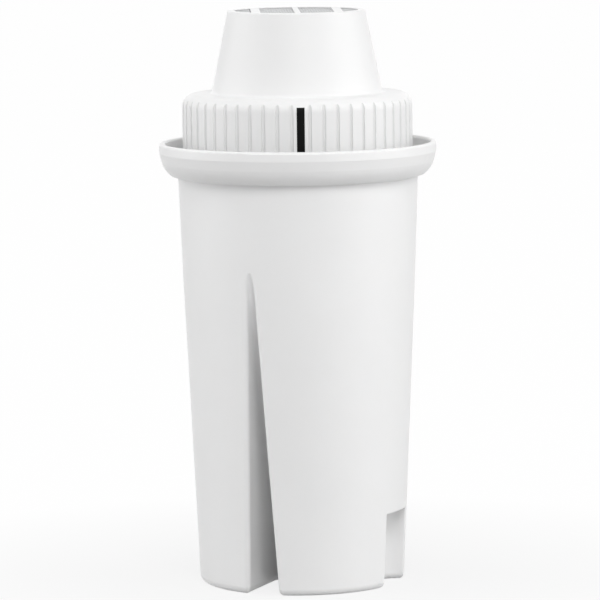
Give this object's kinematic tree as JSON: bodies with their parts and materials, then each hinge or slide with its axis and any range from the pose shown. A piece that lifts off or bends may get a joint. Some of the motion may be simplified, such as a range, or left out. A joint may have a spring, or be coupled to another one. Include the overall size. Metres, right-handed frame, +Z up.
{
  "type": "water pitcher filter cartridge",
  "caption": "Tapered white filter cup with a lipped flange and a long key slot, closed by a conical cap with a fluted collar and a black index mark.",
  "frame": {"origin": "centre of the foot plane, on the axis of the cup", "axes": "+Z up along the axis, from the feet to the inlet mouth; the key slot opens towards -Y; the flank grooves lie at +X and -X"},
  "size_m": [0.0638, 0.0638, 0.132],
  "materials": {
    "housing_plastic": "satin moulded polypropylene, white",
    "cap_plastic": "smooth moulded polypropylene, bright white",
    "mark_print": "flat black print",
    "screen_mesh": "woven monofilament mesh, pale grey",
    "filter_granulate": "loose dark granulate"
  },
  "bodies": {
    "root": {"housing": "housing_plastic", "cap": "cap_plastic", "index_mark": "mark_print", "inlet_screen": "screen_mesh", "outlet_screen": "screen_mesh", "media_bed": "filter_granulate"}
  },
  "joints": []
}
